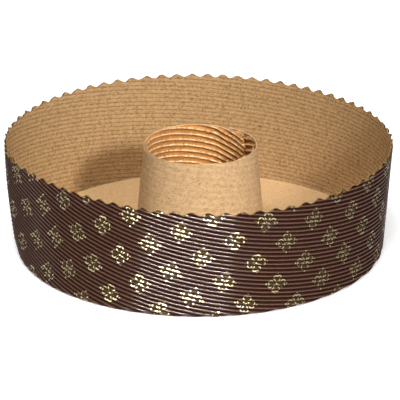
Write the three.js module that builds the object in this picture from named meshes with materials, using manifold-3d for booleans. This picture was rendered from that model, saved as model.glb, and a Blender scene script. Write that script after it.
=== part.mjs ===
// Paper savarin mould: a ring-shaped baking case glued up from three pieces of
// single-face corrugated board. Each piece has a smooth liner on the side that
// touches the cake and flutes on the other side. Units are millimetres, +Z is
// up, and the origin is the centre of the footprint. Angles are in degrees
// from +X, and the front of the mould faces -Y.

import * as THREE from 'three';
import { mergeVertices } from 'three/addons/utils/BufferGeometryUtils.js';
import Module from 'manifold-3d';

const wasm = await Module();
wasm.setup();

// Outer wall, printed on its fluted outside
const rimRadius = 110; // over the flute crests, at the rim
const footRadius = 106.4; // over the flute crests, where the bottom fold starts
const wallHeight = 65;
const wallWeb = 0.45; // liner and fluted sheet where they are glued together
const wallFluteHeight = 0.9;
const wallFlutePitch = 2.5;
const wallLevelAngle = 45; // here the flutes run level
const wallFluteSwing = 31; // degrees by which they swing round on the board in one turn
const wallSeamAngle = -170; // free edge of the outer layer of the lap
const wallLap = 11;
const wallFoldHeight = 2.2;
const wallFoldInset = 1.6;
const wallHemWidth = 10;
const wallSides = 48;

// Scalloped rim of the outer wall
const scallopCount = 74;
const scallopDepth = 2;
const rimAllowance = 1; // the blank stands this far above the scallops until they are punched

// Centre tube, with bare flutes on its inside
const tubeTopRadius = 32.4; // over the liner, at the top
const tubeFootRadius = 38; // over the liner, where the bottom fold starts
const tubeHeight = 62;
const tubeWeb = 0.5;
const tubeFluteHeight = 1.3;
const tubeFlutePitch = 3.6;
const tubeLevelAngle = 202;
const tubeFluteSwing = 33;
const tubeSeamAngle = 36; // free edge of the inner layer of the lap
const tubeLap = 13.5;
const tubeFoldHeight = 3;
const tubeFoldInset = 2.2;
const tubeHemWidth = 8;
const tubeSides = 28;

// Base disc, resting on the two hems, flutes down
const hemThickness = 0.6; // crushed flat under the base disc
const baseWeb = 0.4;
const baseFluteHeight = 0.9;
const baseFlutePitch = 3.6;
const baseClearance = 0.3; // round both edges of the disc
const baseSides = 60;

// Both liners turn in by this much where their wall folds on to its hem
const cornerInset = 0.8;

const fromDegrees = THREE.MathUtils.degToRad;
const wrap = (value, length) => value - length * Math.floor(value / length);

// Height of a flute above its valley, at a distance across the flutes: a zigzag
// with a crest half way along each pitch.
function zigzag(distance, pitch, height) {
  return height * (1 - Math.abs(1 - (2 * wrap(distance, pitch)) / pitch));
}

// Solid from triangles, whose shared vertices are merged first.
function solidOf(geometry) {
  const bare = geometry.clone();
  bare.deleteAttribute('normal');
  bare.deleteAttribute('uv');
  const merged = mergeVertices(bare, 1e-5);
  return new wasm.Manifold(new wasm.Mesh({
    numProp: 3,
    vertProperties: new Float32Array(merged.getAttribute('position').array),
    triVerts: new Uint32Array(merged.getIndex().array),
  }));
}

function geometryOf(solid) {
  const mesh = solid.getMesh();
  const geometry = new THREE.BufferGeometry();
  geometry.setAttribute('position', new THREE.BufferAttribute(mesh.vertProperties, 3));
  geometry.setIndex(new THREE.BufferAttribute(mesh.triVerts, 1));
  const flat = geometry.toNonIndexed();
  flat.computeVertexNormals();
  return flat;
}

// One upright section through a wall of corrugated board, at an angle round the
// cone. `fluted` climbs the fluted face from the fold to the top, and `plain`
// goes on over the top edge, down the liner, round the hem and back through the
// fold. Points are [radius, height]; a point of `fluted` also has its key, the
// distance across the flutes of the flat blank, rising with height.
//
// The liner is a cone. Laid flat, its blank is an arc, turned by `swing` of the
// angle round the cone, whose fold line has the radius foldRadius / swing. The
// flutes are straight and parallel there, so one flute is a line on which
// (fold line radius +- distance up the cone) * cos(swing * angle) is constant.
function section(wall, angle) {
  const { side, topZ, foldZ } = wall;
  const slope = (wall.topRadius - wall.foldRadius) / (topZ - foldZ);
  const linerAt = (z) => wall.foldRadius + slope * (z - foldZ);
  const climb = Math.sign(slope);
  const upright = Math.cos(Math.atan(slope));
  const foldLine = wall.foldRadius / wall.swing;
  const turned = Math.cos(wall.swing * fromDegrees(angle - wall.level));
  const across = (z) => (foldLine + (climb * (z - foldZ)) / upright) * turned;
  const heightAt = (distance) => foldZ + climb * (distance / turned - foldLine) * upright;
  const lift = wall.web + wall.lapRise * THREE.MathUtils.smoothstep(
    wall.seam + wall.lap + wall.ramp - angle, 0, wall.ramp);

  const point = (z, distance, height) => {
    const fade = THREE.MathUtils.clamp((z - foldZ) / wall.fadeHeight, 0, 1);
    const out = wall.web + (lift - wall.web) * fade + height;
    return [linerAt(z) + side * out, z, climb * distance];
  };
  const half = wall.pitch / 2;
  const ends = [across(foldZ), across(topZ)].sort((a, b) => a - b);
  const crossings = [];
  for (let line = Math.ceil(ends[0] / half); line * half < ends[1]; line++) {
    const z = heightAt(line * half);
    if (z - foldZ > wall.tooClose && topZ - z > wall.tooClose) {
      crossings.push(point(z, line * half, line % 2 ? wall.flute : 0));
    }
  }
  const end = (z) => point(z, across(z), zigzag(across(z), wall.pitch, wall.flute));
  const fluted = [end(foldZ), ...crossings, end(topZ)].sort((a, b) => a[2] - b[2]);

  const contact = linerAt(foldZ) + side * (wall.web + wall.flute / 2 - wall.foldInset);
  const hemEnd = contact - side * wall.hemWidth;
  const plain = [
    [linerAt(topZ), topZ],
    [linerAt(foldZ), foldZ],
    [linerAt(foldZ) - side * cornerInset, hemThickness],
    [hemEnd, hemThickness],
    [hemEnd, 0],
    [contact, 0],
  ];
  for (const turn of [60, 30]) {
    plain.push([
      contact + side * wall.foldInset * Math.cos(fromDegrees(turn)),
      foldZ * (1 - Math.sin(fromDegrees(turn))),
    ]);
  }
  return { angle, fluted, plain, loop: [...fluted, ...plain] };
}

// Part of a wall between two angles, as a closed solid. Neighbouring sections
// are joined line by line across the fluted face, and point by point elsewhere.
function wallArc(wall, from, to) {
  const steps = Math.round((to - from) / (360 / wall.sides));
  const positions = [];
  const at = (angle, [radius, z]) => {
    const turn = fromDegrees(angle);
    return [radius * Math.cos(turn), radius * Math.sin(turn), z];
  };
  const triangle = (a, b, c) => positions.push(...a, ...(wall.side > 0 ? [...b, ...c] : [...c, ...b]));
  const sections = [];
  for (let i = 0; i <= steps; i++) {
    sections.push(section(wall, from + ((to - from) * i) / steps));
  }

  for (let i = 0; i < steps; i++) {
    const [a, b] = [sections[i], sections[i + 1]];
    const left = a.fluted.map((p) => at(a.angle, p));
    const right = b.fluted.map((p) => at(b.angle, p));
    let [l, r] = [0, 0];
    while (l < left.length - 1 || r < right.length - 1) {
      const nextLeft = l < left.length - 1 ? a.fluted[l + 1][2] : Infinity;
      const nextRight = r < right.length - 1 ? b.fluted[r + 1][2] : Infinity;
      if (nextLeft <= nextRight) {
        triangle(left[l], right[r], left[l + 1]);
        l++;
      } else {
        triangle(left[l], right[r], right[r + 1]);
        r++;
      }
    }
    const around = (s) => [s.fluted.at(-1), ...s.plain, s.fluted[0]].map((p) => at(s.angle, p));
    const [near, far] = [around(a), around(b)];
    for (let k = 0; k < near.length - 1; k++) {
      triangle(near[k], far[k], near[k + 1]);
      triangle(near[k + 1], far[k], far[k + 1]);
    }
  }

  // Cut ends of the board
  for (const [cut, flip] of [[sections[0], false], [sections.at(-1), true]]) {
    const outline = cut.loop.map(([radius, z]) => new THREE.Vector2(wall.side * radius, z));
    for (const [p, q, s] of THREE.ShapeUtils.triangulateShape(outline, [])) {
      const corners = [p, q, s].map((index) => at(cut.angle, cut.loop[index]));
      triangle(corners[0], ...(flip ? [corners[2], corners[1]] : [corners[1], corners[2]]));
    }
  }
  const geometry = new THREE.BufferGeometry();
  geometry.setAttribute('position', new THREE.Float32BufferAttribute(positions, 3));
  return solidOf(geometry);
}

// A wall all the way round, as two arcs. The blank is longer than the circle,
// so the first arc starts over the end of the second one.
function rolledWall(wall) {
  const overlapped = wall.seam + wall.lap;
  const middle = overlapped + 180;
  return wallArc(wall, wall.seam, middle).add(wallArc(wall, middle, overlapped + 360));
}

const wallCone = (rimRadius - footRadius) / (wallHeight - wallFoldHeight);
const sideWall = {
  side: 1,
  topRadius: rimRadius - wallWeb - wallFluteHeight + wallCone * rimAllowance,
  foldRadius: footRadius - wallWeb - wallFluteHeight,
  topZ: wallHeight + rimAllowance,
  foldZ: wallFoldHeight,
  web: wallWeb,
  flute: wallFluteHeight,
  pitch: wallFlutePitch,
  level: wallLevelAngle,
  swing: wallFluteSwing / 360,
  seam: wallSeamAngle,
  lap: THREE.MathUtils.radToDeg(wallLap / rimRadius),
  lapRise: wallWeb + wallFluteHeight / 2,
  foldInset: wallFoldInset,
  hemWidth: wallHemWidth,
  sides: wallSides,
};
const centreTube = {
  side: -1,
  topRadius: tubeTopRadius,
  foldRadius: tubeFootRadius,
  topZ: tubeHeight,
  foldZ: tubeFoldHeight,
  web: tubeWeb,
  flute: tubeFluteHeight,
  pitch: tubeFlutePitch,
  level: tubeLevelAngle,
  swing: tubeFluteSwing / 360,
  seam: tubeSeamAngle,
  lap: THREE.MathUtils.radToDeg(tubeLap / tubeTopRadius),
  lapRise: tubeWeb + tubeFluteHeight / 2,
  foldInset: tubeFoldInset,
  hemWidth: tubeHemWidth,
  sides: tubeSides,
};
for (const wall of [sideWall, centreTube]) {
  wall.ramp = 720 / wall.sides; // the lapped layer comes down to the cone over two facets
  wall.fadeHeight = 3 * wall.foldZ; // and towards the fold
  wall.tooClose = wall.pitch / 20; // a flute line this near an edge ends there
}

// Ring above the rim with a wavy underside, four facets to a scallop.
function scallopCutter() {
  const inner = rimRadius - 6 * wallFluteHeight;
  const outer = rimRadius + 6 * wallFluteHeight;
  const depths = [0, 0, scallopDepth, scallopDepth];
  const count = scallopCount * depths.length;
  const corners = [];
  for (let i = 0; i < count; i++) {
    const turn = (2 * Math.PI * i) / count;
    const low = wallHeight - depths[i % depths.length];
    const high = wallHeight + 2 * rimAllowance;
    for (const [radius, z] of [[inner, low], [outer, low], [outer, high], [inner, high]]) {
      corners.push(radius * Math.cos(turn), radius * Math.sin(turn), z);
    }
  }
  const index = [];
  for (let i = 0; i < count; i++) {
    for (let k = 0; k < 4; k++) {
      const [a, b] = [4 * i + k, 4 * i + ((k + 1) % 4)];
      const [c, d] = [a, b].map((v) => (v + 4) % (4 * count));
      index.push(a, c, b, b, c, d);
    }
  }
  const geometry = new THREE.BufferGeometry();
  geometry.setAttribute('position', new THREE.Float32BufferAttribute(corners, 3));
  geometry.setIndex(index);
  return solidOf(geometry);
}

// Corrugated sheet lying flutes down, trimmed to a ring between the two walls.
function baseDisc() {
  const outer = sideWall.foldRadius - cornerInset - baseClearance;
  const inner = centreTube.foldRadius + cornerInset + baseClearance;
  const ridges = Math.ceil(outer / baseFlutePitch);
  const bottom = hemThickness;
  const top = bottom + baseFluteHeight + baseWeb;

  const profile = new THREE.Shape();
  profile.moveTo(-ridges * baseFlutePitch, top);
  for (let i = -2 * ridges; i <= 2 * ridges; i++) {
    profile.lineTo((i * baseFlutePitch) / 2, bottom + (i % 2 ? 0 : baseFluteHeight));
  }
  profile.lineTo(ridges * baseFlutePitch, top);
  const length = 2 * (outer + baseFlutePitch);
  const sheet = new THREE.ExtrudeGeometry(profile, { depth: length, bevelEnabled: false });
  sheet.translate(0, 0, -length / 2);
  sheet.rotateX(Math.PI / 2);

  const margin = baseWeb;
  const ring = new THREE.LatheGeometry([
    [inner, bottom - margin], [outer, bottom - margin], [outer, top + margin],
    [inner, top + margin], [inner, bottom - margin],
  ].map(([radius, z]) => new THREE.Vector2(radius, z)), baseSides);
  ring.rotateX(Math.PI / 2);
  return solidOf(sheet).intersect(solidOf(ring));
}

const printedBoard = new THREE.MeshStandardMaterial({
  color: 0x4f3a33, roughness: 0.42, metalness: 0,
});
const kraftBoard = new THREE.MeshStandardMaterial({
  color: 0xd0a878, roughness: 0.85, metalness: 0,
});
const kraftBase = new THREE.MeshStandardMaterial({
  color: 0xdeba85, roughness: 0.85, metalness: 0,
});

const mould = new THREE.Group();
for (const [name, solid, material] of [
  ['side_wall', rolledWall(sideWall).subtract(scallopCutter()), printedBoard],
  ['centre_tube', rolledWall(centreTube), kraftBoard],
  ['base_disc', baseDisc(), kraftBase],
]) {
  const mesh = new THREE.Mesh(geometryOf(solid), material);
  mesh.name = name;
  mould.add(mesh);
}

export default mould;
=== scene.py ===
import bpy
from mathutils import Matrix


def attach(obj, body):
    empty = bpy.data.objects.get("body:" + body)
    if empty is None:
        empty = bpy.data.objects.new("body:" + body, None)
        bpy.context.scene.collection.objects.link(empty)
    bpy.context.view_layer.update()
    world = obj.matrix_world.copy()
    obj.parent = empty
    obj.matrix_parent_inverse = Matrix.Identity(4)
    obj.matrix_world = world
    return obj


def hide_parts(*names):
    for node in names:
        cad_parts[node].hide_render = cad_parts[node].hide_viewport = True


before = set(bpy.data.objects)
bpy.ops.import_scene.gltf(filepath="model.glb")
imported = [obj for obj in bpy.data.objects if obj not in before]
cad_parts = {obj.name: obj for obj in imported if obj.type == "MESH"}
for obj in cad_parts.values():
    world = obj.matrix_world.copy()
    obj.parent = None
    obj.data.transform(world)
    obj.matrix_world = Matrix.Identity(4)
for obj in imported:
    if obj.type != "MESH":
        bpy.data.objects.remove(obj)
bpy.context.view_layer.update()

from types import SimpleNamespace

import bpy
import numpy as np
from mathutils import Vector

# The outer wall's fluted sheet: thin brown-printed paper, pressed into flutes 2.5 mm apart and glued
# to the liner. The board is cut as a flat arc, rolled into a cone, lapped 11 mm at the left, punched
# into scallops round the rim, and folded in under the base as a hem.
mm = 0.001
wall = SimpleNamespace(
    side=1,  # the flutes face away from the axis
    climb=1,  # the cone widens upwards
    fold_radius=105.05 * mm, fold_z=2.2 * mm,  # over the liner, where the bottom fold starts
    top_radius=108.65 * mm, top_z=65 * mm,
    bend=1.6 * mm, hem=10 * mm,
    level=45,  # direction in which the flutes run level, in degrees as all angles here
    drift=0.088,  # share of the angle round the cone by which the flutes swing on the flat board
    pitch=2.5 * mm, flute=0.95 * mm,
    web=0.45 * mm,  # from the liner's face to the valleys
    crushed=0.3 * mm,  # the same in the hem, and the flutes' height there
    sharp=0.5,  # 1 for sharp valleys, 0 for valleys as round as the crests
    seam=-170, lap=5.73, ramp=15,  # free edge of the outer layer, lap, and the slope beyond it
    rise=0.95 * mm, gape=0.3 * mm,  # of the outer layer over the inner one, and more at the top
    oval=((2, 0.84, -1.99), (3, -0.56, 1.0), (4, 0.87, 0.4)),  # waves a turn, cosine and sine in mm
    bulge=1.8 * mm, bulge_at=184,
)
scallops, scallop_depth = 74, 2.1 * mm
crush_reach = 1.5  # the flutes are crushed over this many radii of the bend
lap_fade = 9 * mm  # towards the fold, the lap closes over this height
swell_limit = 1.1  # share of the height at which the slow waves stop growing
bulge_focus = 30  # the bulge falls off round the wall as exp(focus * (cos(angle from it) - 1))


def cone(board):
    """Half angle of a board's cone, in radians, from its radius at the fold and at the top."""
    return np.arctan(abs(board.top_radius - board.fold_radius) / (board.top_z - board.fold_z))


def on_blank(board, s, degrees):
    """A board's flat coordinates: along and across the flutes, (arc radius +- s) times the sine and
    the cosine of the angle on the blank, which is the drift times the angle from the level."""
    arc = board.fold_radius / board.drift + board.climb * s
    turn = board.drift * np.radians(degrees - board.level)
    return np.stack([arc * np.sin(turn), arc * np.cos(turn)], -1)


def board_path(board, s):
    """Liner's section at a distance s up the board from the fold: for s > 0 the cone, below it a
    bend of a fixed radius, and past the bend a flat hem. Returns radius, height, and the direction
    (radial, upright) in which the flutes stand."""
    lean, side = board.climb * cone(board), board.side
    turn = np.clip(-s / board.bend, 0, np.pi / 2 - side * lean)
    heading = turn + side * lean
    hem = np.maximum(-s / board.bend - turn, 0) * board.bend
    up = np.maximum(s, 0)
    bent_in = board.bend * (np.cos(side * lean) - np.cos(heading)) + hem
    bent_down = board.bend * (np.sin(heading) - np.sin(side * lean))
    radius = board.fold_radius + up * np.sin(lean) - side * bent_in
    height = board.fold_z + up * np.cos(lean) - bent_down
    return radius, height, side * np.cos(heading), -np.sin(heading)


def place(board, s, degrees, out):
    """Points of a board: its section, moved out from the liner by `out`, lifted at the lap, which
    gapes towards the top, and turned to the angle. Waves c cos(n angle) + d sin(n angle), growing
    up the board, push it out of round, and one soft bulge stands half way up."""
    s, degrees, out = np.broadcast_arrays(s, degrees, out)
    radius, height, radial, upright = board_path(board, s)
    share = s / (board.top_z - board.fold_z)
    step = np.clip((board.seam + board.lap + board.ramp - degrees) / board.ramp, 0, 1)
    lift = board.rise + board.gape * np.clip(share, 0, 1) ** 4
    out = out + step * step * (3 - 2 * step) * np.clip(s / lap_fade, 0, 1) * lift
    angle = np.radians(degrees)
    grown = np.clip(share, 0, swell_limit)
    swell = grown * mm * sum(c * np.cos(n * angle) + d * np.sin(n * angle) for n, c, d in board.oval)
    facing = np.cos(angle - np.radians(board.bulge_at))
    swell = swell + board.bulge * np.exp(bulge_focus * (facing - 1)) * np.sin(np.pi * grown / swell_limit)
    radius = radius + radial * out + swell
    return np.stack([radius * np.cos(angle), radius * np.sin(angle), height + upright * out], -1)


def flute_height(board, s, degrees):
    """Height of the fluted sheet over the liner: across each pitch a mix of |sin|, whose valleys are
    sharp, and sin^2, whose valleys are as round as its crests, crushed nearly flat in the hem."""
    wave = np.abs(np.sin(np.pi * on_blank(board, s, degrees)[..., 1] / board.pitch))
    crush = np.clip(-s / (crush_reach * board.bend), 0, 1)
    high = board.flute + (board.crushed - board.flute) * crush
    low = board.web + (board.crushed - board.web) * crush
    return low + high * (board.sharp * wave + (1 - board.sharp) * wave * wave)


def flute_rows(board, degrees, low, high, per_flute):
    """Grid whose rows run along the flutes: row j is where the distance across the flutes is j steps,
    solved for s on each column and held between the board's two edges. Returns s and the grid's
    vertex numbers, with the rows past an edge merged into it."""
    turned = np.cos(board.drift * np.radians(degrees - board.level))[:, None]
    arc = board.fold_radius / board.drift
    step = board.pitch / per_flute
    low, high = (np.broadcast_to(edge, degrees.shape)[:, None] for edge in (low, high))
    reach = np.stack([(arc + board.climb * low) * turned, (arc + board.climb * high) * turned])
    lines = np.arange(np.floor(reach.min() / step) - 1, np.ceil(reach.max() / step) + 2) * step
    s = board.climb * (lines[::board.climb] / turned - arc)
    first, last = (s <= low).sum(1) - 1, (s < high).sum(1)
    rows = np.clip(np.arange(len(lines)), first[:, None], last[:, None])
    return np.clip(s, low, high), rows + len(lines) * np.arange(len(degrees))[:, None]


def turns_of(board, per_turn):
    """Angles of a board's columns, from its free edge all the way round and under the lap."""
    columns = round(per_turn * (1 + board.lap / 360))
    return np.linspace(board.seam, board.seam + 360 + board.lap, columns)


def plain_ids(columns, rows):
    """Vertex numbers of a grid with nothing merged."""
    return np.arange(columns * rows).reshape(columns, rows)


def board_grid(board, s, degrees, out, material, flip, ids=None):
    """One grid of a board for paper_piece, out from the liner by `out`."""
    points = place(board, s, degrees, out)
    ids = plain_ids(*points.shape[:2]) if ids is None else ids
    return points, ids, on_blank(board, s, degrees), material, flip


def grid_faces(ids, flip):
    """Faces between neighbouring columns and rows of a grid of vertex numbers, leaving out repeated
    corners and faces that have shrunk to a line."""
    a, b, c, d = ids[:-1, :-1], ids[1:, :-1], ids[1:, 1:], ids[:-1, 1:]
    quads = np.stack([a, d, c, b] if flip else [a, b, c, d], -1).reshape(-1, 4)
    same = quads == np.roll(quads, -1, 1)
    whole, narrow = quads[same.sum(1) == 0], same.sum(1) == 1
    corners = quads[narrow][~same[narrow]].reshape(-1, 3)
    return whole.tolist() + corners.tolist()


def paper_piece(name, grids, materials):
    """A mesh object from several grids, each (points, vertex numbers, flat coordinates, material,
    flip). Flat coordinates go to a UV map named flat, in metres on the unrolled blank."""
    points, flats, faces, finish, start = [], [], [], [], 0
    for xyz, ids, flat, material, flip in grids:
        made = grid_faces(ids + start, flip)
        faces += made
        finish += [material] * len(made)
        points.append(xyz.reshape(-1, 3))
        flats.append(np.broadcast_to(flat, xyz.shape[:2] + (2,)).reshape(-1, 2))
        start += len(points[-1])
    points, flats = np.concatenate(points), np.concatenate(flats)
    used, renumbered = np.unique(np.concatenate([np.ravel(face) for face in faces]), return_inverse=True)
    ends = np.cumsum([len(face) for face in faces])
    faces = [part.tolist() for part in np.split(renumbered, ends[:-1])]
    mesh = bpy.data.meshes.new(name)
    mesh.from_pydata(points[used].tolist(), [], faces)
    corners = np.empty(len(mesh.loops), int)
    mesh.loops.foreach_get("vertex_index", corners)
    unrolled = flats[used][corners].astype(np.float32)
    mesh.uv_layers.new(name="flat").data.foreach_set("uv", unrolled.ravel())
    mesh.polygons.foreach_set("material_index", finish)
    mesh.polygons.foreach_set("use_smooth", [True] * len(faces))
    for material in materials:
        mesh.materials.append(material)
    piece = bpy.data.objects.new(name, mesh)
    bpy.context.collection.objects.link(piece)
    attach(piece, "root")
    return piece


def rim_distance(degrees):
    """Distance up the wall of its punched rim: scallops as a cosine wave."""
    height = wall.top_z - scallop_depth * (1 - np.cos(scallops * np.radians(degrees))) / 2
    return (height - wall.fold_z) / np.cos(cone(wall))


sheet_paper = 0.18 * mm
wall_turn = turns_of(wall, scallops * 7)
column = wall_turn[:, None]
hem_reach = -(wall.bend * np.pi / 2 + wall.hem)
sheet_s, sheet_ids = flute_rows(wall, wall_turn, hem_reach, rim_distance(wall_turn), 6)
cut_s = rim_distance(column)
cut_out = flute_height(wall, cut_s, column) - np.array([[0, sheet_paper]])
end_s = sheet_s[:1]
end_out = flute_height(wall, end_s, wall.seam)
end_out = np.vstack([end_out - wall.web - wall.rise, end_out])
printed_grids = [
    board_grid(wall, sheet_s, column, flute_height(wall, sheet_s, column), 0, False, sheet_ids),
    board_grid(wall, cut_s, column, cut_out, 1, False),
    board_grid(wall, end_s, wall.seam, end_out, 1, False),
]


def tone(r, g, b):
    """Linear colour of a swatch given as 0-255 screen values."""
    screen = np.array([r, g, b]) / 255
    linear = np.where(screen <= 0.04045, screen / 12.92, ((screen + 0.055) / 1.055) ** 2.4)
    return (*linear.tolist(), 1)


def joined(tree, socket, value):
    """Feeds an input from another node's output, or sets its plain value."""
    if isinstance(value, bpy.types.NodeSocket):
        tree.links.new(value, socket)
    else:
        socket.default_value = value


def maths(tree, operation, *values, clamp=False):
    """Output of a Math node on up to three values."""
    node = tree.nodes.new("ShaderNodeMath")
    node.operation, node.use_clamp = operation, clamp
    for socket, value in zip(node.inputs, values):
        joined(tree, socket, value)
    return node.outputs[0]


def plus(tree, first, second):
    return maths(tree, "ADD", first, second)


def less(tree, first, second):
    return maths(tree, "SUBTRACT", first, second)


def times(tree, first, second, clamp=False):
    return maths(tree, "MULTIPLY", first, second, clamp=clamp)


def past(tree, value, start, gain):
    """How far a value is past a start, times a gain, held between 0 and 1."""
    return times(tree, less(tree, value, start), gain, clamp=True)


def gap_to(tree, x, y, at_x, at_y):
    """Distance from a point."""
    dx, dy = less(tree, x, at_x), less(tree, y, at_y)
    return maths(tree, "SQRT", plus(tree, times(tree, dx, dx), times(tree, dy, dy)))


def blended(tree, amount, first, second):
    """Colour between two others, by a mask."""
    node = tree.nodes.new("ShaderNodeMix")
    node.data_type = "RGBA"
    for socket, value in zip((node.inputs[0], node.inputs[6], node.inputs[7]), (amount, first, second)):
        joined(tree, socket, value)
    return node.outputs[2]


def noise(tree, where, scale, detail, roughness):
    """Soft noise from 0 to 1 at points in metres."""
    node = tree.nodes.new("ShaderNodeTexNoise")
    node.inputs["Scale"].default_value = scale
    node.inputs["Detail"].default_value = detail
    node.inputs["Roughness"].default_value = roughness
    tree.links.new(where, node.inputs["Vector"])
    return node.outputs["Fac"]


def effect(name, inputs, outputs):
    """Empty node group with the given sockets."""
    group = bpy.data.node_groups.new(name, "ShaderNodeTree")
    for in_out, sockets in (("INPUT", inputs), ("OUTPUT", outputs)):
        for label, kind in sockets.items():
            group.interface.new_socket(label, in_out=in_out, socket_type="NodeSocket" + kind)
    return group, group.nodes.new("NodeGroupInput").outputs, group.nodes.new("NodeGroupOutput").inputs


def use(tree, group, **values):
    """Places a group in a material and feeds its inputs by name."""
    node = tree.nodes.new("ShaderNodeGroup")
    node.node_tree = group
    for label, value in values.items():
        joined(tree, node.inputs[label], value)
    return node.outputs


def flower_effect():
    """Four heart-shaped petals in outline, with a dot in the middle and one past each petal, in mm.
    A petal is a wedge from the centre joined to two round lobes, folded on to one petal by wrapping
    the angle. Ink is the drawing, and Inside is the petals' inner side."""
    lobe_out, lobe_aside, lobe_radius = 3.7, 0.95, 1.3
    wedge_slope, wedge_end, heart_hole = 0.6, 3.5, 1.15
    half_line, dot_out, dot_radius, centre_radius = 0.32, 6.3, 0.55, 0.6
    group, given, made = effect("one_flower", {"Along": "Float", "Across": "Float", "Turn": "Float"},
                                {"Ink": "Float", "Inside": "Float"})
    angle = plus(group, maths(group, "ARCTAN2", given["Across"], given["Along"]), given["Turn"])
    angle = maths(group, "WRAP", angle, np.pi / 4, -np.pi / 4)
    reach = gap_to(group, given["Along"], given["Across"], 0.0, 0.0)
    outward = times(group, reach, maths(group, "COSINE", angle))
    aside = maths(group, "ABSOLUTE", times(group, reach, maths(group, "SINE", angle)))
    lobe = less(group, gap_to(group, outward, aside, lobe_out, lobe_aside), lobe_radius)
    wedge = less(group, aside, times(group, outward, wedge_slope))
    wedge = times(group, wedge, np.cos(np.arctan(wedge_slope)))
    wedge = maths(group, "MAXIMUM", wedge, less(group, outward, wedge_end))
    petal = maths(group, "MINIMUM", lobe, wedge)
    outline = less(group, half_line, maths(group, "ABSOLUTE", petal))
    outline = maths(group, "MINIMUM", outline, less(group, reach, heart_hole))
    dots = less(group, dot_radius, gap_to(group, outward, aside, dot_out, 0.0))
    dots = maths(group, "MAXIMUM", dots, less(group, centre_radius, reach))
    drawing = maths(group, "MAXIMUM", outline, dots)
    group.links.new(times(group, drawing, 8.0, clamp=True), made["Ink"])
    group.links.new(times(group, petal, -5.0, clamp=True), made["Inside"])
    return group


def grain_effect():
    """Paper pulp: cloudy patches a few millimetres across, and short darker fibres."""
    group, given, made = effect(
        "paper_grain", {"Vector": "Vector", "Base": "Color", "Fleck": "Color", "Amount": "Float"},
        {"Color": "Color", "Height": "Float"})
    cloud = noise(group, given["Vector"], 420, 3, 0.6)
    stretch = group.nodes.new("ShaderNodeMapping")
    stretch.inputs["Scale"].default_value = (1, 1, 2.6)
    group.links.new(given["Vector"], stretch.inputs["Vector"])
    fibre = noise(group, stretch.outputs[0], 800, 4, 0.75)
    patches, fibres = past(group, cloud, 0.42, 2.4), past(group, fibre, 0.51, 7.0)
    fleck = times(group, plus(group, times(group, patches, 0.5), fibres), given["Amount"], clamp=True)
    group.links.new(blended(group, fleck, given["Base"], given["Fleck"]), made["Color"])
    group.links.new(plus(group, cloud, fibre), made["Height"])
    return group


def new_material(name):
    """New material: itself, its node tree, its Principled shader and its Object coordinates."""
    material = bpy.data.materials.new(name)
    material.use_nodes = True
    tree = material.node_tree
    spot = tree.nodes.new("ShaderNodeTexCoord").outputs["Object"]
    return material, tree, tree.nodes["Principled BSDF"], spot


def flat_coordinates(tree):
    """The flat UV map's two coordinates, in millimetres: along and across the flutes."""
    node = tree.nodes.new("ShaderNodeUVMap")
    node.uv_map = "flat"
    split = tree.nodes.new("ShaderNodeSeparateXYZ")
    tree.links.new(node.outputs[0], split.inputs[0])
    return [times(tree, split.outputs[axis], 1 / mm) for axis in (0, 1)]


def crest_wave(tree, across, board):
    """1 along the flutes' crests and 0 along their valleys."""
    return maths(tree, "ABSOLUTE", maths(tree, "SINE", times(tree, across, np.pi * mm / board.pitch)))


def valley_wave(tree, across, board):
    """1 along the valleys, which are glued to the liner, and -1 along the crests."""
    return maths(tree, "COSINE", times(tree, across, 2 * np.pi * mm / board.pitch))


def bumped(tree, shader, height, distance, strength=1.0):
    """Raises the surface by a height map, over a distance in metres."""
    node = tree.nodes.new("ShaderNodeBump")
    node.inputs["Distance"].default_value = distance
    node.inputs["Strength"].default_value = strength
    tree.links.new(height, node.inputs["Height"])
    tree.links.new(node.outputs["Normal"], shader.inputs["Normal"])


flower, paper_grain = flower_effect(), grain_effect()


def bare_paper(name, base, fleck, amount, roughness, relief):
    """Material of unprinted paper, flecked and with its grain as relief, in metres. Returns it with
    its tree, shader and Object coordinates, and the grain's outputs."""
    material, tree, shader, spot = new_material(name)
    grain = use(tree, paper_grain, Vector=spot, Base=base, Fleck=fleck, Amount=amount)
    tree.links.new(grain["Color"], shader.inputs["Base Color"])
    shader.inputs["Roughness"].default_value = roughness
    shader.inputs["Specular IOR Level"].default_value = 0.0
    bumped(tree, shader, grain["Height"], relief)
    return material, tree, shader, spot, grain


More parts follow.
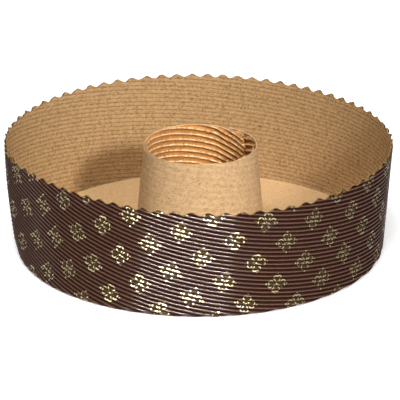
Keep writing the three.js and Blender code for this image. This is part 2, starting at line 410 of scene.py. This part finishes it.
def flower_repeat(tree):
    """Masks of the flowers' ink and of their petals' inside. Rows 12.8 mm apart follow the flutes at
    a slight angle, each stepped along from the last. Odd and even rows are drawn apart, so that a
    flower may reach past its own row, and each flower is turned a little by chance."""
    row_angle, row_gap, flower_gap, row_step = np.radians(1.4), 12.77, 30.37, 0.481
    start_along, start_across, most_turned = 7.242, -1.617, 0.25
    along, across = flat_coordinates(tree)
    up = less(tree, across, wall.fold_radius / wall.drift / mm)
    row_along = plus(tree, times(tree, along, np.cos(row_angle)), times(tree, up, np.sin(row_angle)))
    row_across = less(tree, times(tree, up, np.cos(row_angle)), times(tree, along, np.sin(row_angle)))
    ink = inside = 0.0
    for odd in (0, 1):
        rows = plus(tree, maths(tree, "DIVIDE", row_across, 2 * row_gap), start_across - odd / 2)
        row = maths(tree, "ROUND", rows)
        stepped = times(tree, plus(tree, times(tree, row, 2.0), odd), row_step)
        stepped = plus(tree, stepped, start_along)
        places = plus(tree, maths(tree, "DIVIDE", row_along, flower_gap), stepped)
        spot = maths(tree, "ROUND", places)
        cell = tree.nodes.new("ShaderNodeCombineXYZ")
        tree.links.new(spot, cell.inputs[0])
        tree.links.new(row, cell.inputs[1])
        chance = tree.nodes.new("ShaderNodeTexWhiteNoise")
        tree.links.new(cell.outputs[0], chance.inputs["Vector"])
        turn = times(tree, less(tree, chance.outputs["Value"], 0.5), 2 * most_turned)
        local_along = times(tree, less(tree, places, spot), flower_gap)
        local_across = times(tree, less(tree, rows, row), 2 * row_gap)
        drawn = use(tree, flower, Along=local_along, Across=local_across, Turn=turn)
        ink = maths(tree, "MAXIMUM", ink, drawn["Ink"])
        inside = maths(tree, "MAXIMUM", inside, drawn["Inside"])
    return ink, inside


def printed_paper():
    """Glossy dark brown print with gold flowers, glossier along the flutes' crests. The brown is painted
    darker towards the valleys as painted shade, with a thin pale line along each crest as a painted
    highlight, and the gold is faded out between the crests as painted shade."""
    # The darkest brown is painted shade for the valleys, and the palest a painted highlight along the
    # crests.
    valley_brown_painted_shade, crest_brown, crest_line_painted_highlight, fleck_brown = (
        tone(24, 13, 8), tone(57, 35, 27), tone(74, 51, 41), tone(28, 15, 9))
    gold_ink, petal_ink = tone(126, 118, 92), tone(46, 36, 20)
    material, tree, shader, spot = new_material("printed_paper")
    ink, inside = flower_repeat(tree)
    crest = crest_wave(tree, flat_coordinates(tree)[1], wall)
    # Painted shade: the gold fades out towards the valleys, where the print lies in shade.
    gold = times(tree, ink, past(tree, crest, 0.3, 1.8))
    # Painted shade: the brown grows darker towards the valleys.
    brown = blended(tree, maths(tree, "POWER", crest, 2.0), valley_brown_painted_shade, crest_brown)
    # Painted highlight: a thin pale line along each crest.
    brown = blended(tree, maths(tree, "POWER", crest, 16.0), brown, crest_line_painted_highlight)
    brown = use(tree, paper_grain, Vector=spot, Base=brown, Fleck=fleck_brown, Amount=0.6)
    colour = blended(tree, times(tree, inside, 0.6), brown["Color"], petal_ink)
    tree.links.new(blended(tree, gold, colour, gold_ink), shader.inputs["Base Color"])
    tree.links.new(times(tree, gold, 0.7), shader.inputs["Metallic"])
    tree.links.new(plus(tree, 0.42, times(tree, gold, -0.08)), shader.inputs["Roughness"])
    dulled = maths(tree, "MULTIPLY_ADD", inside, -0.9, 1.0)
    shine = times(tree, maths(tree, "POWER", crest, 6.0), dulled)
    shine = maths(tree, "MAXIMUM", shine, times(tree, gold, 0.6))
    tree.links.new(times(tree, shine, 0.3), shader.inputs["Coat Weight"])
    shader.inputs["Coat Roughness"].default_value = 0.13
    shader.inputs["Specular IOR Level"].default_value = 0.0
    uneven = plus(tree, times(tree, brown["Height"], 0.12), noise(tree, spot, 70, 2, 0.5))
    bumped(tree, shader, uneven, 0.25 * mm, 0.35)
    return material


raw_edge = bare_paper("raw_wall_edge", tone(150, 116, 72), tone(96, 70, 40), 0.7, 0.9, 0.1 * mm)[0]

printed_sheet = paper_piece("wall_fluted_sheet", printed_grids, [printed_paper(), raw_edge])
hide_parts("side_wall")

# The outer wall's liner: the board's smooth inner paper, bare kraft that touches the cake. The flutes
# glued behind it show through as faint lines, and its raw edge is a pale line inside the rim.
liner_paper = 0.3 * mm
liner_turn = turns_of(wall, scallops * 6)
column = liner_turn[:, None]
liner_top = rim_distance(column)
hem_shares = np.array([[1, 0.5, 0.25, 0.2, 0.14, 0.08, 0.04, 0]])  # closer together round the bend
liner_low = np.repeat(hem_reach * hem_shares, len(liner_turn), 0)
liner_s = np.hstack([liner_low, liner_top * np.linspace(0, 1, 26)[1:]])
liner_grids = [
    board_grid(wall, liner_s, column, 0.0, 0, True),
    board_grid(wall, liner_top, column, np.array([[0, liner_paper]]), 1, True),
    board_grid(wall, liner_s, column, liner_paper, 1, False),
]
for end in (0, -1):
    liner_grids.append(board_grid(
        wall, liner_s[end][None], liner_turn[end], np.array([[0], [liner_paper]]), 1, end == 0))


def wall_kraft():
    """Kraft with broken dark lines along the valleys behind it, which are also slight grooves."""
    material, tree, shader, spot, grain = bare_paper(
        "kraft_wall_liner", tone(186, 153, 110), tone(92, 62, 30), 0.85, 0.8, 0.12 * mm)
    line = valley_wave(tree, flat_coordinates(tree)[1], wall)
    line = maths(tree, "POWER", plus(tree, times(tree, line, 0.5), 0.5), 3.0)
    broken = past(tree, noise(tree, spot, 900, 3, 0.6), 0.25, 2.4)
    faint = times(tree, times(tree, line, broken), 0.65)
    tree.links.new(blended(tree, faint, grain["Color"], tone(88, 60, 28)), shader.inputs["Base Color"])
    grooves = less(tree, times(tree, grain["Height"], 0.5), times(tree, line, 0.45))
    relief = shader.inputs["Normal"].links[0].from_node
    tree.links.new(grooves, relief.inputs["Height"])
    return material


wall_liner = paper_piece("wall_liner", liner_grids, [wall_kraft(), raw_edge])
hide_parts("side_wall")

# The centre tube: a coarser unprinted board, rolled the other way round, so that its flutes line the
# bore and its smooth liner faces the cake. It is lapped at the back right, where the inner layer's
# edge is torn and stands off, and its foot turns out under the base.
tube = SimpleNamespace(
    side=-1, climb=-1, fold_radius=38 * mm, fold_z=3 * mm, top_radius=32.4 * mm, top_z=62 * mm,
    bend=1.8 * mm, hem=8 * mm, level=202, drift=0.092,
    pitch=3.6 * mm, flute=1.4 * mm, web=0.5 * mm, crushed=0.3 * mm, sharp=0.1,
    seam=33, lap=23.9, ramp=18, rise=1.15 * mm, gape=1.2 * mm,
    oval=((2, 0.15, 0.1), (3, 0.1, -0.1)), bulge=0, bulge_at=0,
)
tube_paper = 0.3 * mm
tube_turn = turns_of(tube, 240)
column = tube_turn[:, None]
tube_top = (tube.top_z - tube.fold_z) / np.cos(cone(tube))
tube_rim = tube_top + 0.25 * mm * np.sin(np.radians(column) * 3 + 1)
tube_hem = -(tube.bend * np.pi / 2 + tube.hem)


def torn(s):
    """Angles of the tube's columns, with its free edge torn to a wavy line: two sine waves up the
    edge, a degree or so deep, that fade out over 6 degrees."""
    waves = np.sin(s / (1.4 * mm)) + 0.7 * np.sin(s / (0.6 * mm) + 2)
    return column + np.clip(1 - (column - tube.seam) / 6, 0, 1) * waves


bore_s, bore_ids = flute_rows(tube, tube_turn, tube_hem, tube_rim[:, 0], 12)
bore_turn = torn(bore_s)
bore_out = flute_height(tube, bore_s, bore_turn)
cut_turn = torn(tube_rim)
cut_out = flute_height(tube, tube_rim, cut_turn) - np.array([[0, sheet_paper]])
tube_levels = np.hstack([np.linspace(tube_hem, -0.1 * mm, 9), np.linspace(0, 1, 22)[:-1] * tube_top])
tube_s = np.hstack([np.repeat(tube_levels[None], len(tube_turn), 0), tube_rim])
liner_turned = torn(tube_s)
tube_grids = [
    board_grid(tube, bore_s, bore_turn, bore_out, 0, True, bore_ids),
    board_grid(tube, tube_rim, cut_turn, cut_out, 2, True),
    board_grid(tube, bore_s[:1], bore_turn[:1], bore_out[:1] * np.array([[0], [1]]), 0, True),
    board_grid(tube, tube_s, liner_turned, 0.0, 1, False),
    board_grid(tube, tube_s, liner_turned, tube_paper, 2, True),
    board_grid(tube, tube_rim, cut_turn, np.array([[0, tube_paper]]), 2, False),
]
for end in (0, -1):
    tube_grids.append(board_grid(
        tube, tube_s[end][None], liner_turned[end][None], np.array([[0], [tube_paper]]), 2, end == -1))


def flute_kraft():
    """Coarse orange-brown kraft, with a ragged pale line along the flutes' crests as a painted highlight.
    """
    material, tree, shader, spot, grain = bare_paper(
        "kraft_coarse_flutes", tone(198, 141, 80), tone(128, 78, 36), 0.85, 0.8, 0.35 * mm)
    crest = crest_wave(tree, flat_coordinates(tree)[1], tube)
    ragged = times(tree, less(tree, noise(tree, spot, 600, 3, 0.6), 0.5), 0.6)
    # Painted highlight: ragged pale lines along the crests.
    painted_crest_highlight = past(tree, plus(tree, crest, ragged), 0.88, 8.0)
    tree.links.new(blended(tree, painted_crest_highlight, grain["Color"], tone(242, 212, 164)), shader.inputs["Base Color"])
    return material


def smooth_kraft():
    """Pale kraft with faint streaks where the flutes behind it are glued."""
    material, tree, shader, spot, grain = bare_paper(
        "kraft_smooth", tone(212, 179, 135), tone(144, 106, 70), 0.85, 0.8, 0.08 * mm)
    line = times(tree, valley_wave(tree, flat_coordinates(tree)[1], tube), 0.5)
    streak = times(tree, plus(tree, line, noise(tree, spot, 160, 3, 0.6)), 0.22, clamp=True)
    tree.links.new(blended(tree, streak, grain["Color"], tone(168, 128, 92)), shader.inputs["Base Color"])
    return material


pale_edge = bare_paper("raw_tube_edge", tone(216, 182, 138), tone(150, 112, 70), 0.5, 0.9, 0.1 * mm)[0]
kraft_flutes = flute_kraft()

tube_piece = paper_piece("centre_tube_board", tube_grids, [kraft_flutes, smooth_kraft(), pale_edge])
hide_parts("centre_tube")

# The base: a ring of the same coarse board with its smooth side up, glued down on the hems of the
# wall and of the tube. Its flutes face the table.
disc_outer, disc_inner = 103.7 * mm, 38.6 * mm
disc_low, disc_flute, disc_web = 0.62 * mm, 0.9 * mm, 0.4 * mm
disc_top = disc_low + disc_flute + disc_web
disc_sag = 0.12 * mm


def disc_underside(x):
    """Height of the ring's fluted underside: ribs that run front to back, as |cos|^1.5."""
    return disc_low + disc_flute * np.abs(np.cos(np.pi * x / tube.pitch)) ** 1.5


ring_turn = np.radians(np.linspace(0, 360, 361))[:, None]
ring_radius = np.linspace(disc_inner, disc_outer, 40)[None, :]
ring_share = (ring_radius - disc_inner) / (disc_outer - disc_inner)
sag = disc_sag * np.sin(3 * ring_turn + 1) * np.sin(np.pi * ring_share)
top_face = np.stack([ring_radius * np.cos(ring_turn), ring_radius * np.sin(ring_turn), disc_top + sag], -1)
top_ids = plain_ids(*sag.shape)
top_ids[-1] = top_ids[0]
base_grids = [(top_face, top_ids, top_face[..., :2], 0, True)]

ribs_x = np.arange(-disc_outer, disc_outer, tube.pitch / 10)[1:, None]
outer_y = np.sqrt(disc_outer ** 2 - ribs_x ** 2)
inner_y = np.sqrt(np.maximum(disc_inner ** 2 - ribs_x ** 2, 0))
for half in (1, -1):
    rib_y = half * (inner_y + (outer_y - inner_y) * np.linspace(0, 1, 12))
    under = np.stack(np.broadcast_arrays(ribs_x, rib_y, disc_underside(ribs_x)), -1)
    base_grids.append((under, plain_ids(*under.shape[:2]), under[..., 1::-1], 1, half == 1))
for radius, flip in ((disc_outer, False), (disc_inner, True)):
    edge_x, edge_y = radius * np.cos(ring_turn), radius * np.sin(ring_turn)
    edge_z = np.hstack([disc_underside(edge_x), np.full_like(edge_x, disc_top)])
    rim = np.stack(np.broadcast_arrays(edge_x, edge_y, edge_z), -1)
    base_grids.append((rim, plain_ids(*edge_z.shape), rim[..., :2], 2, flip))

kraft_base = bare_paper(
    "kraft_base_smooth", tone(200, 166, 122), tone(144, 110, 72), 0.5, 0.8, 0.08 * mm)[0]

base = paper_piece("base_board", base_grids, [kraft_base, kraft_flutes, raw_edge])
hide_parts("base_disc")

# The table, the lights and the camera: a white sheet, a small key light low at the front right, a
# broad soft one overhead, two long strips that add gloss alone, whose reflections run along the
# flutes, and a long lens 22 degrees above the table.
table_half, table_glow, world_glow = 6, 0.22, 0.22
floor_mesh = bpy.data.meshes.new("table")
corners = [(x * table_half, y * table_half, 0) for x, y in ((-1, -1), (1, -1), (1, 1), (-1, 1))]
floor_mesh.from_pydata(corners, [], [(0, 1, 2, 3)])
floor = bpy.data.objects.new("table", floor_mesh)
bpy.context.collection.objects.link(floor)
table, _, shader, _ = new_material("pale_table")
shader.inputs["Base Color"].default_value = (0.98, 0.98, 0.98, 1)
shader.inputs["Roughness"].default_value = 0.6
shader.inputs["Emission Color"].default_value = (1, 1, 1, 1)
shader.inputs["Emission Strength"].default_value = table_glow
floor_mesh.materials.append(table)

world = bpy.data.worlds.new("studio")
world.use_nodes = True
world.node_tree.nodes["Background"].inputs["Color"].default_value = (1, 1, 1, 1)
world.node_tree.nodes["Background"].inputs["Strength"].default_value = world_glow
bpy.context.scene.world = world
bpy.context.scene.view_settings.view_transform = "Standard"


def direction(azimuth, elevation):
    """Unit vector towards an azimuth from +X and an elevation above the table, in degrees."""
    turn, lift = np.radians(azimuth), np.radians(elevation)
    return Vector((np.cos(turn) * np.cos(lift), np.sin(turn) * np.cos(lift), np.sin(lift)))


def aimed(thing, target, azimuth, elevation, distance):
    """Links a light or a camera, off a target in a direction and turned to face it."""
    thing.location = target + distance * direction(azimuth, elevation)
    thing.rotation_euler = (target - thing.location).to_track_quat("-Z", "Y").to_euler()
    bpy.context.collection.objects.link(thing)


light_distance, light_target = 3, Vector((0, 0, 0.03))
for name, azimuth, elevation, width, height, watts, gloss_alone in (
    ("key_front", -64, 28, 0.35, 0.35, 78, False),
    ("overhead", -112, 66, 1.2, 1.0, 82, False),
    ("gloss_front", -90, 26, 2.9, 0.25, 2500, True),
    ("gloss_left", -188, 24, 2.4, 0.25, 40, True),
):
    lamp = bpy.data.lights.new(name, "AREA")
    lamp.shape, lamp.size, lamp.size_y, lamp.energy = "RECTANGLE", width, height, watts
    light = bpy.data.objects.new(name, lamp)
    light.visible_diffuse = not gloss_alone
    aimed(light, light_target, azimuth, elevation, light_distance)

frame_pixels, focal_pixels, camera_distance, camera_lift = 400, 3705, 2.145, 22.4
camera_data = bpy.data.cameras.new("camera")
camera_data.sensor_width = 36
camera_data.lens = focal_pixels / frame_pixels * camera_data.sensor_width
camera = bpy.data.objects.new("camera", camera_data)
aimed(camera, Vector((0, 0, 0.0273)), -90, camera_lift, camera_distance)
bpy.context.scene.camera = camera
